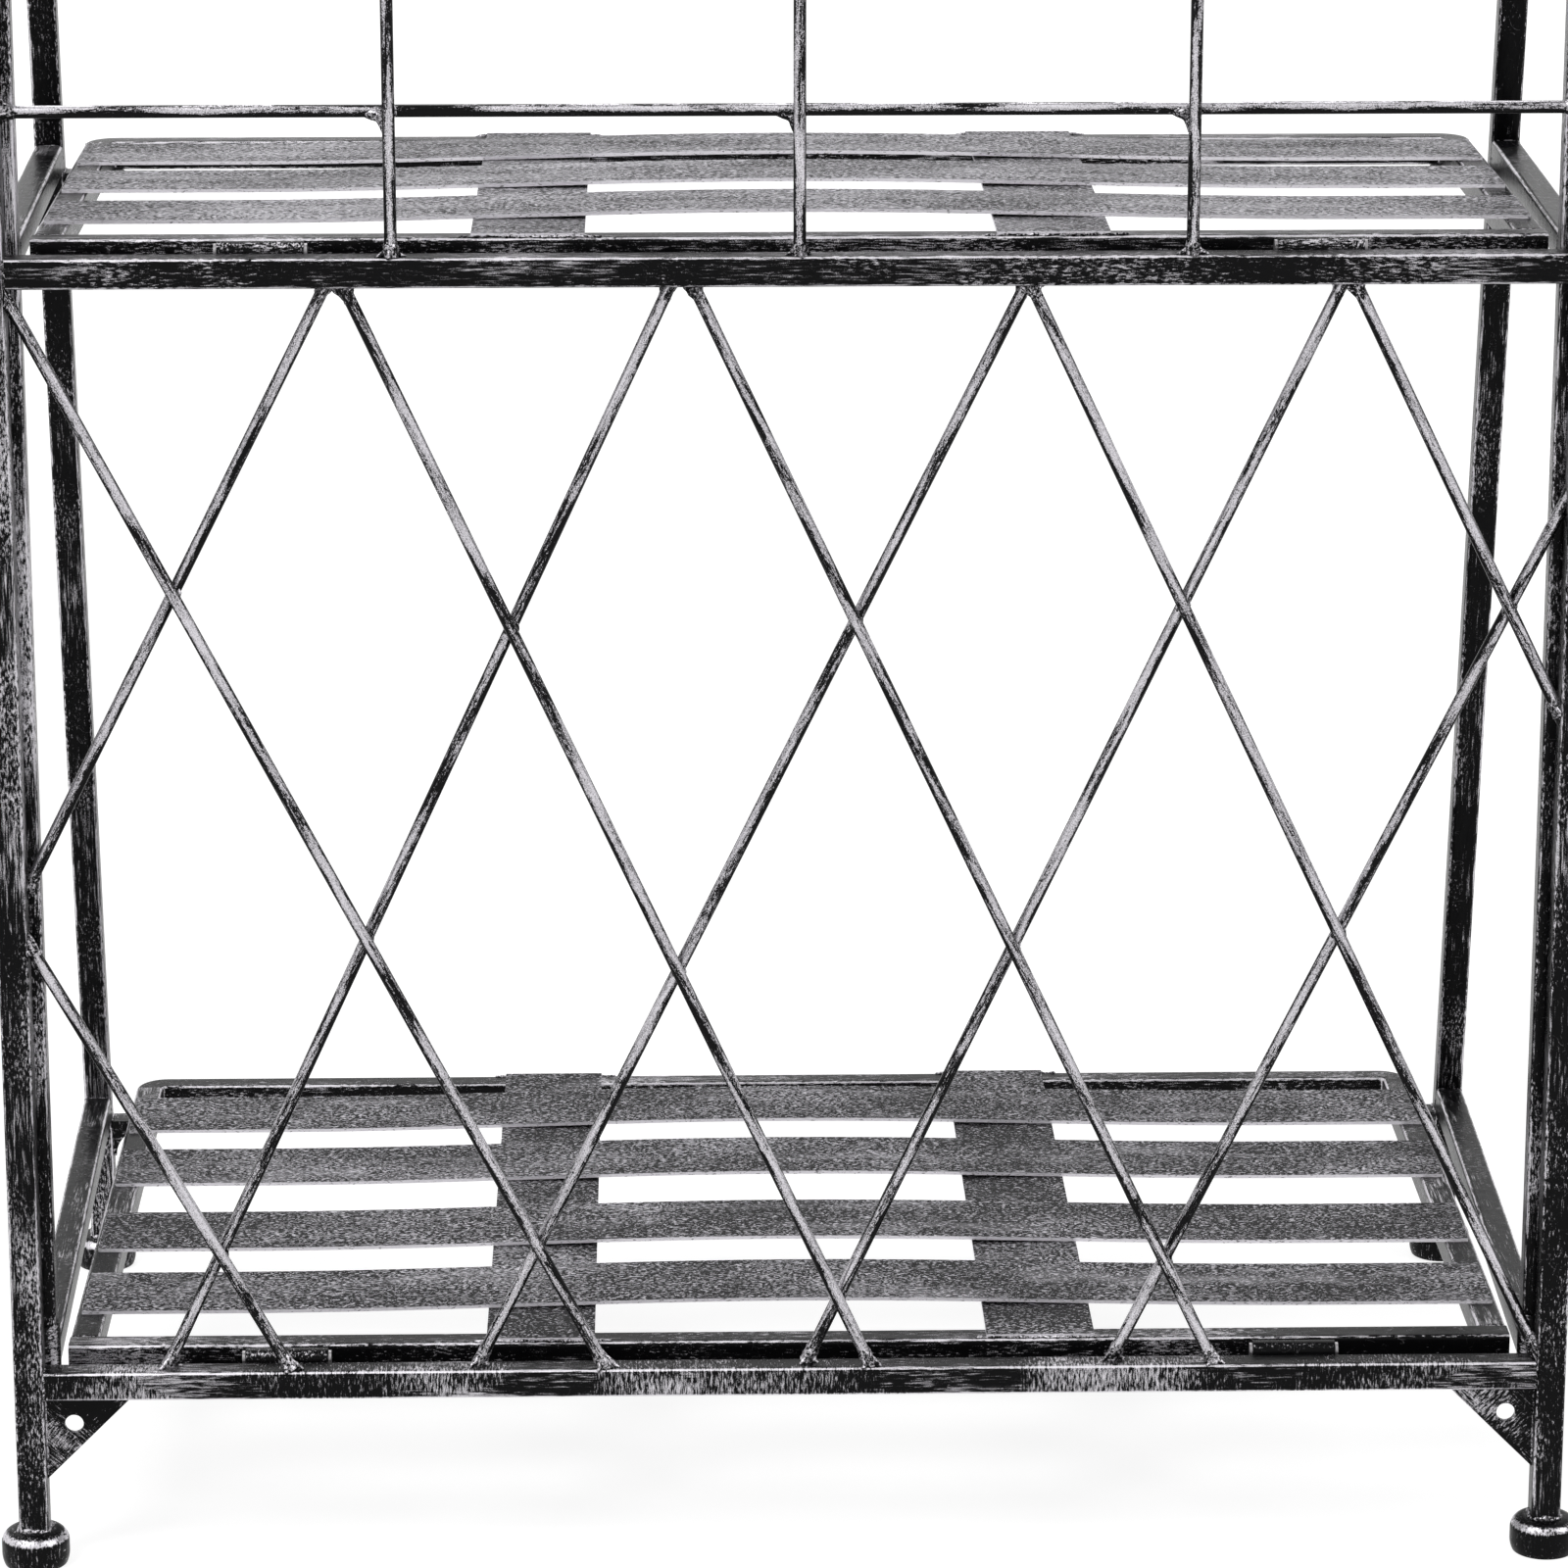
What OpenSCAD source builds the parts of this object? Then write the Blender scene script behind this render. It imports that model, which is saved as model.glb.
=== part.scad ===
// Folding three-shelf plant stand of square steel tube.
// The lattice panel is the back; two ladder sides hang on long hinge rods, and three slatted shelves
// lie on tabs of the sides and lift up about knuckle hinges on the panel's rails.
// Millimetres, +Z up. The origin is on the floor, midway between the four feet.

/* [Overall] */
// Distance between the centre lines of the panel's two legs
stand_w = 650; // [560:1:760]
// Height of the centre of the panel's bottom rail
bottom_rail_z = 81.7; // [70:0.1:110]
// Height from one shelf level to the next
shelf_pitch = 480; // [430:1:520]
// Height of the crest rail's centre above the top rail's centre
crest_rise = 95; // [85:1:140]

/* [Tube and rod] */
// Outside width of the square tube
tube = 12.7; // [12:0.1:14]
// Wall of the square tube
wall = 1.2; // [0.8:0.1:1.6]
// Radius of the tube's outer corners
tube_r = 2; // [1.7:0.1:3]
// Diameter of the lattice, upright and guard rods
rod_d = 5.2; // [4:0.1:5.6]
// Gap between the two layers of crossing rods
rod_layer_gap = 0.1; // [0:0.05:0.4]
// Thickness of the plugs that close the shelves' front tubes
plug_t = 1.5; // [1:0.1:3]
// Clearance round such a plug
plug_gap = 0.05; // [0.02:0.01:0.2]

/* [Lattice panel] */
// Shift of the middle upright from the centre, as it was welded
middle_upright_shift = 3; // [-10:1:10]
// Height of a guard rod above its rail's top face
guard_rise = 58.5; // [40:0.5:70]
// Length of a corner gusset along the rail
gusset_w = 37; // [30:1:60]
// Height of a corner gusset along the leg
gusset_h = 37; // [30:1:50]
// Thickness of a corner gusset
gusset_t = 2; // [1.5:0.1:4]
// Diameter of the hole in a corner gusset
gusset_hole_d = 8; // [5:0.5:10]
// Distance of the gusset hole from the leg and from the rail
gusset_hole_in = 12; // [9:0.5:14]

/* [Feet and caps] */
// Diameter of a bun foot
foot_d = 29; // [27:0.1:36]
// Height of a bun foot
foot_h = 15.5; // [15:0.5:22]
// Radius of a bun foot's rounded shoulder
foot_shoulder = 6; // [4:0.1:7]
// Height at which a bun foot's curved underside ends
foot_waist = 5; // [4:0.5:7]
// Radius of a bun foot's curved underside
foot_belly_r = 12; // [8:0.5:13]
// Overhang of a domed cap past the tube's side
cap_over = 1.9; // [1.9:0.1:3]
// Height of a cap's straight rim
cap_rim = 2; // [1:0.1:4]
// Height of a cap's dome above its rim
cap_dome = 3; // [1:0.1:6]

/* [Hinge rods] */
// Diameter of the long hinge rod
hinge_rod_d = 6; // [5:0.1:7]
// Running clearance round a rod or pin, on the radius
run_gap = 0.05; // [0.02:0.01:0.1]
// Distance of the hinge rod inward from the leg's centre line
stile_inset = 4.5; // [3:0.5:6]
// Clearance between the turning stile's corner and the leg
stile_gap = 0.5; // [0.3:0.1:2]
// Height of the stile's lower end above the bottom rail's top
stile_foot_rise = 16; // [12:0.5:20]
// Height of the stile's upper end above the top rail's top
stile_top_rise = 18; // [12:0.5:24]
// Outside diameter of the lower barrel
barrel_d = 15; // [13:0.5:16]
// Height of the stile's lower end above the barrel's foot
barrel_h = 19.7; // [14:0.1:28]
// Thickness of a lug that holds an end of the hinge rod
lug_t = 3; // [2:0.5:5]
// Width of a lug's arm, narrow enough for the side rail to swing past it
lug_arm_w = 6; // [4:0.5:6]
// Step of a lug's rim inside the barrel's
lug_step = 0.7; // [0.5:0.1:1.5]
// Length of a bush inside the stile
bush_h = 20; // [10:1:40]
// Gap between neighbouring turning faces
face_gap = 0.3; // [0.2:0.05:0.6]

/* [Side frames] */
// Distance of the rear post's foot from the hinge rod
post_foot_reach = 359; // [340:1:380]
// Lean of the rear post, in millimetres per millimetre of height
post_lean = 0.205; // [0.18:0.005:0.205]
// Height of the rear post's upper end above the top shelf's frame
post_over = 4; // [2:0.5:10]
// Outward turn of a side frame at rest, in degrees
toe_out = 1.2; // [0:0.1:2]
// Reach of a support tab from the rear post
tab_l = 26.5; // [20:0.5:32]
// Width of a support tab
tab_w = 12; // [8:0.5:12.5]
// Thickness of a support tab
tab_t = 4; // [3:0.5:6]
// Size of the curved bracket under a tab
bracket_r = 15; // [10:0.5:18]
// Thickness of the curved bracket under a tab
bracket_t = 3; // [2:0.5:5]

/* [Shelves] */
// Height of a shelf frame's top above its rail's top
shelf_rise = 4.3; // [3:0.1:5]
// Gap between a shelf's side and the stile
shelf_side_gap = 4.2; // [4:0.05:8]
// Reach of the bottom shelf behind the rear posts' centre lines
bottom_shelf_over = 22.25; // [18:0.05:26]
// Reach of the middle shelf behind the rear posts' centre lines
middle_shelf_over = 14.65; // [10:0.05:22]
// Reach of the top shelf behind the rear posts' centre lines
top_shelf_over = 7; // [5:0.05:14]
// Number of slats on the bottom shelf
bottom_slats = 4; // [3:1:5]
// Number of slats on the middle shelf
middle_slats = 3; // [2:1:3]
// Number of slats on the top shelf
top_slats = 2; // [2:1:2]
// Width of a slat
slat_w = 48; // [35:0.5:50]
// Thickness of slats and straps
slat_t = 1.5; // [1:0.1:1.6]
// Rise of a slat's middle above its ends
slat_bow = 3.9; // [3.9:0.1:5]
// Distance from a slat's middle at which its rise has run out
slat_bow_reach = 235; // [235:1:280]
// Distance of a slat's end from the shelf's side
slat_end = 2.4; // [0.5:0.1:4]
// Radius of the shelf frame's rear corners, at the tube's centre
shelf_corner_r = 8; // [7.5:0.5:20]
// Width of a cross strap
strap_w = 46.5; // [30:0.5:46.5]
// Distance between the centre lines of the two cross straps
strap_spread = 215; // [150:1:215]
// Distance of a strap's ends from the shelf's front and rear faces
strap_end = 1.5; // [0.5:0.1:4]

/* [Knuckle hinges] */
// Distance between the centres of a shelf's two hinges
hinge_spread = 432; // [380:1:480]
// Length of one knuckle
knuckle_l = 17.5; // [12:0.5:25]
// Outside diameter of a knuckle
knuckle_d = 8.4; // [7.4:0.1:8.8]
// Gap between a knuckle and the tube that it turns past
knuckle_gap = 0.4; // [0.3:0.05:0.6]
// Distance of a knuckle's weld block from its bore
block_gap = 0.6; // [0.3:0.1:1]
// Diameter of a knuckle pin
pin_d = 4; // [3:0.1:5]
// Clearance round a pin where it is pressed in, on the radius
press_gap = 0.01; // [0.01:0.005:0.02]
// Diameter of a knuckle pin's head
pin_head_d = 6.4; // [5.6:0.1:7]
// Thickness of a knuckle pin's head
pin_head_t = 1.2; // [0.8:0.1:2]

/* [Hidden] */
$fn = 48;

// Finish colours
IRON = [0.24, 0.24, 0.26];
SILVER = [0.48, 0.48, 0.50];
STEEL = [0.62, 0.62, 0.64];

// Half sizes and heights that the pieces share
half_t = tube / 2;
rod_r = rod_d / 2;
bore_r = hinge_rod_d / 2 + run_gap;
in_half = stand_w / 2 - half_t;
function rail_z(level) = bottom_rail_z + level * shelf_pitch;
crest_z = rail_z(2) + crest_rise;
leg_top = crest_z + half_t;

// Layers of rods, one in front of the panel's middle plane and one behind it
layer_y = rod_r + rod_layer_gap / 2;

// The hinge rod's axis, as far behind the leg as the stile's corner needs to turn
corner_reach = sqrt(2) * (half_t - tube_r) + tube_r;
stile_x = stand_w / 2 - stile_inset;
stile_y = half_t + corner_reach + stile_gap;
stile_foot = rail_z(0) + half_t + stile_foot_rise;
stile_top = rail_z(2) + half_t + stile_top_rise;
barrel_foot = stile_foot - barrel_h - face_gap;
lug_low = barrel_foot - face_gap - lug_t;
lug_high = stile_top + face_gap;

// The leaning rear post, in the side frame's own plane, measured from the hinge rod
lean_angle = atan(post_lean);
function post_y(z) = post_foot_reach - post_lean * z;
post_top = shelf_top(2) + post_over;
post_foot_y = post_y(foot_h);

// Middle of the four feet
panel_y = -(stile_y + post_foot_y * cos(toe_out)) / 2;

// Shelves: the front tube lies behind the knuckles, whose axis is level with the rail's top
slat_count = [bottom_slats, middle_slats, top_slats];
shelf_half = stile_x - half_t - shelf_side_gap;
knuckle_r = knuckle_d / 2;
knuckle_y = half_t + knuckle_r + knuckle_gap;
shelf_y = knuckle_y + knuckle_r + knuckle_gap;
function knuckle_z(level) = rail_z(level) + half_t;
function shelf_top(level) = knuckle_z(level) + shelf_rise;
function shelf_mid(level) = shelf_top(level) - half_t;

// Each shelf reaches past the rear posts, so its depth follows their lean
shelf_over = [bottom_shelf_over, middle_shelf_over, top_shelf_over];
function post_line(level) = stile_y + post_y(shelf_mid(level)) * cos(toe_out);
shelf_depth = [for (level = [0:2]) post_line(level) + shelf_over[level] - shelf_y];

// Centre lines of a shelf's first and last slat, in shares of its depth, and how far each slat was
// welded from its even place
FIRST_SLAT = [0.171, 0.23, 0.309];
LAST_SLAT = [0.838, 0.8, 0.691];
SLAT_SHIFT = [[0, -2, 5, 0], [0, 2, 0], [0, 0]];

// Lattice rods as places where each crosses the rails, in shares of the panel's half width.
// Beyond a share of 1 the rod ends on the leg instead.
NEAR_RODS = [[-1.48, -0.67], [-1.005, -0.25], [-0.57, 0.105], [-0.125, 0.565], [0.305, 1.005], [0.72, 1.44]];
FAR_RODS = [[-0.595, -1.34], [-0.155, -0.835], [0.3, -0.42], [0.705, 0.02], [1.14, 0.43]];

// Set a piece in the stand's frame from the panel's plane
module on_panel() {
    translate([0, panel_y, 0]) children();
}

// Set a piece on the left side frame, or mirrored on the right one
module on_side(side) {
    on_panel() mirror([side == "right" ? 1 : 0, 0, 0])
        translate([-stile_x, stile_y, 0]) rotate([0, 0, toe_out]) children();
}

// Square section with round corners
module round_square(w, r) {
    union() {
        square([w - 2 * r, w], center = true);
        square([w, w - 2 * r], center = true);
        for (x = [-1, 1], y = [-1, 1]) translate([x, y] * (w / 2 - r)) circle(r);
    }
}

// Hollow section of the square tube
module tube_section() {
    difference() {
        round_square(tube, tube_r);
        round_square(tube - 2 * wall, tube_r - wall);
    }
}

module tube_z(low, high) {
    translate([0, 0, low]) linear_extrude(high - low) tube_section();
}

module tube_x(low, high) {
    translate([low, 0, 0]) rotate([90, 0, 90]) linear_extrude(high - low) tube_section();
}

module tube_y(low, high) {
    translate([0, high, 0]) rotate([90, 0, 0]) linear_extrude(high - low) tube_section();
}

// Round bar between two heights of the panel's plane
module bar(x_low, z_low, x_high, z_high, y) {
    run = x_high - x_low;
    rise = z_high - z_low;
    translate([x_low, y, z_low]) rotate([0, atan2(run, rise), 0]) cylinder(h = norm([run, rise]), r = rod_r);
}

// Bun foot: a thick disc with a curved underside and a rounded shoulder, flat where the tube stands
module bun_foot() {
    r = foot_d / 2;
    shoulder = min(foot_shoulder, r - corner_reach);
    rotate_extrude($fn = 72) intersection() {
        union() {
            translate([r - foot_belly_r, foot_waist]) circle(foot_belly_r);
            translate([0, foot_waist]) square([r, foot_h - shoulder - foot_waist]);
            translate([r - shoulder, foot_h - shoulder]) circle(shoulder);
            translate([0, foot_waist]) square([r - shoulder, foot_h - foot_waist]);
        }
        square([r, foot_h]);
    }
}

// Domed cap that closes a tube's top
module dome_cap() {
    rim_r = half_t + cap_over;
    r = (pow(cap_dome, 2) + pow(rim_r, 2)) / (2 * cap_dome);
    rotate_extrude() union() {
        square([rim_r, cap_rim]);
        intersection() {
            translate([0, cap_rim + cap_dome - r]) circle(r, $fn = 96);
            square([rim_r, cap_rim + cap_dome]);
        }
    }
}

module leg(x) {
    color(IRON) on_panel() translate([x, 0, 0]) tube_z(foot_h, leg_top);
}

module panel_rail(z) {
    color(IRON) on_panel() translate([0, 0, z]) tube_x(-in_half, in_half);
}

// Rods of one lattice layer, cut off flush at the rails and the legs
module lattice_rods(rods, y) {
    low = rail_z(0) + half_t;
    high = rail_z(1) - half_t;
    color(SILVER) on_panel() intersection() {
        for (rod = rods) {
            slope = (rod[0] - rod[1]) * in_half / (high - low);
            over = 2 * rod_r;
            bar(rod[1] * in_half - slope * over, low - over, rod[0] * in_half + slope * over, high + over, y);
        }
        translate([-in_half, y - rod_d, low]) cube([2 * in_half, 2 * rod_d, high - low]);
    }
}

module upright_rods() {
    quarter = stand_w / 4;
    color(SILVER) on_panel() for (x = [-quarter, middle_upright_shift, quarter]) {
        for (span = [[rail_z(1), rail_z(2)], [rail_z(2), crest_z]])
            bar(x, span[0] + half_t, x, span[1] - half_t, -layer_y);
    }
}

module guard_rods() {
    color(SILVER) on_panel() for (level = [1, 2])
        translate([-in_half, layer_y, rail_z(level) + half_t + guard_rise])
            rotate([0, 90, 0]) cylinder(h = 2 * in_half, r = rod_r);
}

// Three-cornered plate in the angle of leg and bottom rail, with one hole
module gusset(side) {
    top = rail_z(0) - half_t;
    color(IRON) on_panel() mirror([side == "right" ? 1 : 0, 0, 0])
        translate([-in_half, gusset_t / 2, top]) rotate([90, 0, 0]) linear_extrude(gusset_t) difference() {
            polygon([[0, 0], [gusset_w, 0], [0, -gusset_h]]);
            translate([gusset_hole_in, -gusset_hole_in]) circle(d = gusset_hole_d);
        }
}

module panel_foot(x) {
    color(IRON) on_panel() translate([x, 0, 0]) bun_foot();
}

module leg_caps() {
    color(IRON) on_panel() for (x = [-1, 1]) translate([x * stand_w / 2, 0, leg_top]) dome_cap();
}

// Long rod that the side frame turns on, between its two lugs
module hinge_rod(x) {
    color(STEEL) on_panel() translate([x, stile_y, lug_low + lug_t])
        cylinder(h = lug_high - lug_low - lug_t, d = hinge_rod_d);
}

// Plates that carry the hinge rod's ends from the back of the leg
module hinge_lugs(x) {
    color(IRON) on_panel() for (z = [lug_low, lug_high]) translate([x, 0, z]) {
        translate([0, stile_y, 0]) cylinder(h = lug_t, d = barrel_d - 2 * lug_step);
        translate([-lug_arm_w / 2, half_t, 0]) cube([lug_arm_w, stile_y - half_t, lug_t]);
    }
}

// One knuckle with its weld block, which reaches the tube that it is welded to
module knuckle(faces, bore) {
    near = pin_d / 2 + block_gap;
    far = knuckle_r + knuckle_gap;
    difference() {
        union() {
            rotate([0, 90, 0]) cylinder(h = knuckle_l, d = knuckle_d, center = true);
            translate([-knuckle_l / 2, faces == "shelf" ? near : -far, -knuckle_r])
                cube([knuckle_l, far - near, knuckle_r]);
        }
        rotate([0, 90, 0]) cylinder(h = 2 * knuckle_l, r = bore, center = true);
    }
}

// Middle of a knuckle: the outer one is on the rail, the inner one on the shelf
function knuckle_x(outer) = hinge_spread / 2 + (outer ? 1 : -1) * (knuckle_l + face_gap) / 2;

module rail_knuckles(level) {
    color(STEEL) on_panel() for (x = [-1, 1])
        translate([x * knuckle_x(true), knuckle_y, knuckle_z(level)]) knuckle("rail", pin_d / 2 + press_gap);
}

module shelf_knuckles(level) {
    color(STEEL) on_panel() for (x = [-1, 1])
        translate([x * knuckle_x(false), knuckle_y, knuckle_z(level)]) knuckle("shelf", pin_d / 2 + run_gap);
}

// Pins with a head at each end, just clear of the knuckles
module hinge_pins(level) {
    reach = knuckle_l + face_gap;
    color(STEEL) on_panel() for (x = [-1, 1])
        translate([x * hinge_spread / 2, knuckle_y, knuckle_z(level)]) rotate([0, 90, 0]) {
            cylinder(h = 2 * (reach + pin_head_t), d = pin_d, center = true);
            for (end = [-1, 1]) translate([0, 0, end * (reach + pin_head_t / 2)])
                cylinder(h = pin_head_t, d = pin_head_d, center = true);
        }
}

module stile(side) {
    color(IRON) on_side(side) tube_z(stile_foot, stile_top);
}

// Plugs in the stile's ends, bored for the hinge rod
module stile_bushes(side) {
    color(STEEL) on_side(side) for (z = [stile_foot, stile_top - bush_h]) translate([0, 0, z]) difference() {
        linear_extrude(bush_h) round_square(tube - 2 * wall, tube_r - wall);
        translate([0, 0, -1]) cylinder(h = bush_h + 2, r = bore_r);
    }
}

// Short sleeve on the bottom side rail's front end
module barrel(side) {
    color(IRON) on_side(side) translate([0, 0, barrel_foot]) difference() {
        cylinder(h = barrel_h, d = barrel_d);
        translate([0, 0, -1]) cylinder(h = barrel_h + 2, r = bore_r);
    }
}

// Lay a piece along the leaning rear post, with its foot at the floor
module along_post() {
    translate([0, post_foot_reach, 0]) rotate([lean_angle, 0, 0]) children();
}

module rear_post(side) {
    reach = 2 * post_top;
    color(IRON) on_side(side) intersection() {
        along_post() tube_z(-tube, reach);
        translate([-tube, -tube, foot_h]) cube([2 * tube, post_foot_reach + 2 * tube, post_top - foot_h]);
    }
}

// Three rungs from the stile to the rear post; the lowest starts at the barrel
module side_rails(side) {
    color(IRON) on_side(side) for (level = [0:2]) difference() {
        translate([0, 0, shelf_mid(level)]) tube_y(level == 0 ? 0 : half_t, post_foot_reach);
        along_post() translate([-tube, -half_t, 0]) cube([2 * tube, post_foot_reach, 2 * post_top]);
        if (level == 0) cylinder(h = stile_foot, d = barrel_d);
    }
}

// Round-ended tab under the shelf's side tube, with its curved bracket
module shelf_tab() {
    round_x = tab_l - tab_w / 2;
    translate([half_t, 0, -tab_t]) {
        translate([0, -tab_w / 2, 0]) cube([round_x, tab_w, tab_t]);
        translate([round_x, 0, 0]) cylinder(h = tab_t, d = tab_w);
    }
    translate([half_t, bracket_t / 2, -tab_t]) rotate([90, 0, 0]) linear_extrude(bracket_t) difference() {
        translate([0, -bracket_r]) square(bracket_r);
        translate([bracket_r, -bracket_r]) circle(bracket_r - 1.5);
        translate([1.5, -bracket_r - 1]) square([bracket_r, 1.5]);
    }
}

module shelf_tabs(side) {
    color(IRON) on_side(side) for (level = [0:2]) {
        z = shelf_mid(level) - half_t - face_gap;
        translate([0, post_y(z), z]) shelf_tab();
    }
}

module rear_foot(side) {
    color(IRON) on_side(side) translate([0, post_foot_y, 0]) bun_foot();
}

module post_cap(side) {
    color(IRON) on_side(side) translate([0, post_y(post_top), post_top]) dome_cap();
}

// Front tube of a shelf, with plugs that close its ends
module shelf_front_tube(level) {
    plug_w = tube - 2 * wall - 2 * plug_gap;
    color(IRON) on_panel() translate([0, shelf_y + half_t, shelf_mid(level)]) {
        tube_x(-shelf_half, shelf_half);
        for (x = [-shelf_half, shelf_half - plug_t]) translate([x, 0, 0]) rotate([90, 0, 90])
            linear_extrude(plug_t) round_square(plug_w, tube_r - wall - plug_gap);
    }
}

module shelf_side_tubes(level) {
    back = shelf_y + shelf_depth[level] - half_t - shelf_corner_r;
    color(IRON) on_panel() for (x = [-1, 1])
        translate([x * (shelf_half - half_t), 0, shelf_mid(level)]) tube_y(shelf_y + tube, back);
}

// Rear tube of a shelf with its two round corners
module shelf_rear_tube(level) {
    side_x = shelf_half - half_t - shelf_corner_r;
    rear_y = shelf_y + shelf_depth[level] - half_t;
    color(IRON) on_panel() translate([0, rear_y, shelf_mid(level)]) {
        tube_x(-side_x, side_x);
        for (x = [0, 1]) mirror([x, 0, 0]) translate([side_x, -shelf_corner_r, 0])
            rotate_extrude(angle = 90, $fn = 96) translate([shelf_corner_r, 0]) tube_section();
    }
}

// Height of a slat's underside above its ends
function slat_rise(x) = abs(x) < slat_bow_reach ? slat_bow * (1 + cos(180 * x / slat_bow_reach)) / 2 : 0;

// Side outline of a slat
function slat_outline(half) = let (steps = 16) concat(
    [for (i = [-steps:steps]) [half * i / steps, slat_rise(half * i / steps)]],
    [for (i = [steps:-1:-steps]) [half * i / steps, slat_rise(half * i / steps) + slat_t]]
);

function slat_step(level) = shelf_depth[level] * (LAST_SLAT[level] - FIRST_SLAT[level]) / (slat_count[level] - 1);
function slat_shift(level, i) = i < len(SLAT_SHIFT[level]) ? SLAT_SHIFT[level][i] : 0;
function slat_y(level, i) = shelf_y + shelf_depth[level] * FIRST_SLAT[level] + i * slat_step(level)
    + slat_shift(level, i);

// Slats from side tube to side tube, bowed up where they cross the straps
module shelf_slats(level) {
    width = min(slat_w, 0.85 * slat_step(level));
    color(SILVER) on_panel() for (i = [0:slat_count[level] - 1])
        translate([0, slat_y(level, i) + width / 2, shelf_top(level)]) rotate([90, 0, 0])
            linear_extrude(width) polygon(slat_outline(shelf_half - slat_end));
}

// Cross straps from front tube to rear tube, under the slats
module shelf_straps(level) {
    color(SILVER) on_panel() for (x = [-1, 1])
        translate([x * strap_spread / 2 - strap_w / 2, shelf_y + strap_end, shelf_top(level)])
            cube([strap_w, shelf_depth[level] - 2 * strap_end, slat_t]);
}

leg(-stand_w / 2);  // leg_left
leg(stand_w / 2);  // leg_right
panel_rail(rail_z(0));  // bottom_rail
panel_rail(rail_z(1));  // middle_rail
panel_rail(rail_z(2));  // top_rail
panel_rail(crest_z);  // crest_rail
lattice_rods(NEAR_RODS, -layer_y);  // lattice_rods_near
lattice_rods(FAR_RODS, layer_y);  // lattice_rods_far
upright_rods();
guard_rods();
gusset("left");  // gusset_left
gusset("right");  // gusset_right
panel_foot(-stand_w / 2);  // panel_foot_left
panel_foot(stand_w / 2);  // panel_foot_right
leg_caps();
hinge_rod(-stile_x);  // hinge_rod_left
hinge_rod(stile_x);  // hinge_rod_right
hinge_lugs(-stile_x);  // hinge_lugs_left
hinge_lugs(stile_x);  // hinge_lugs_right
rail_knuckles(0);  // bottom_rail_knuckles
rail_knuckles(1);  // middle_rail_knuckles
rail_knuckles(2);  // top_rail_knuckles
hinge_pins(0);  // bottom_hinge_pins
hinge_pins(1);  // middle_hinge_pins
hinge_pins(2);  // top_hinge_pins
stile("left");  // stile_left
rear_post("left");  // rear_post_left
side_rails("left");  // side_rails_left
barrel("left");  // barrel_left
stile_bushes("left");  // stile_bushes_left
shelf_tabs("left");  // shelf_tabs_left
rear_foot("left");  // rear_foot_left
post_cap("left");  // post_cap_left
stile("right");  // stile_right
rear_post("right");  // rear_post_right
side_rails("right");  // side_rails_right
barrel("right");  // barrel_right
stile_bushes("right");  // stile_bushes_right
shelf_tabs("right");  // shelf_tabs_right
rear_foot("right");  // rear_foot_right
post_cap("right");  // post_cap_right
shelf_front_tube(0);  // bottom_shelf_front_tube
shelf_side_tubes(0);  // bottom_shelf_side_tubes
shelf_rear_tube(0);  // bottom_shelf_rear_tube
shelf_slats(0);  // bottom_shelf_slats
shelf_straps(0);  // bottom_shelf_straps
shelf_knuckles(0);  // bottom_shelf_knuckles
shelf_front_tube(1);  // middle_shelf_front_tube
shelf_side_tubes(1);  // middle_shelf_side_tubes
shelf_rear_tube(1);  // middle_shelf_rear_tube
shelf_slats(1);  // middle_shelf_slats
shelf_straps(1);  // middle_shelf_straps
shelf_knuckles(1);  // middle_shelf_knuckles
shelf_front_tube(2);  // top_shelf_front_tube
shelf_side_tubes(2);  // top_shelf_side_tubes
shelf_rear_tube(2);  // top_shelf_rear_tube
shelf_slats(2);  // top_shelf_slats
shelf_straps(2);  // top_shelf_straps
shelf_knuckles(2);  // top_shelf_knuckles
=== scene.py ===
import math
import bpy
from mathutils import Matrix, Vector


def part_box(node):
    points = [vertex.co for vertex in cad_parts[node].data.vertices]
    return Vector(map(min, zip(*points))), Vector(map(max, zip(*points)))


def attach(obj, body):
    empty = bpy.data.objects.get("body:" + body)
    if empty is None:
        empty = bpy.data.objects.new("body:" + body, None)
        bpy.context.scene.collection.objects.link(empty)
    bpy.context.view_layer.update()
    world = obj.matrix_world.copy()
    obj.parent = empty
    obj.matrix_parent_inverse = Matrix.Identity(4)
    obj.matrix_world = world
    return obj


bl_info = {
    "name": "Antique Silver Plant Stand",
    "version": (1, 1, 0),
    "blender": (4, 5, 0),
    "location": "View3D > Sidebar > Plant Stand",
    "description": "Dry-brushed finishes, weld beads and a plain studio for a folding plant stand",
    "category": "Object",
}

import bmesh
import bpy
from bpy.props import FloatProperty, FloatVectorProperty, PointerProperty
from mathutils import Vector
from mathutils.noise import noise, noise_vector, seed_set

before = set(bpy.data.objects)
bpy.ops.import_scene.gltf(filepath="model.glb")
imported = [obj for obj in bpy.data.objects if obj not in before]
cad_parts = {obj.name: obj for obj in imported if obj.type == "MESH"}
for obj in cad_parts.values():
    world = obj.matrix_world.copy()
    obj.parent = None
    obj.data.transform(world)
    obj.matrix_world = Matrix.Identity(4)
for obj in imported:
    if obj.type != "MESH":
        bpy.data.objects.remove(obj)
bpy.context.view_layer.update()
MM = 0.001

# Without a seed, noise_vector starts from the clock and the weld beads wander differently each run
seed_set(1)

# Sizes read from the frame
LEG_LOW, LEG_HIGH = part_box("leg_left")
TUBE = LEG_HIGH.x - LEG_LOW.x
PANEL_Y = (LEG_LOW.y + LEG_HIGH.y) / 2
PANEL_BACK = PANEL_Y + TUBE / 2

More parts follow.
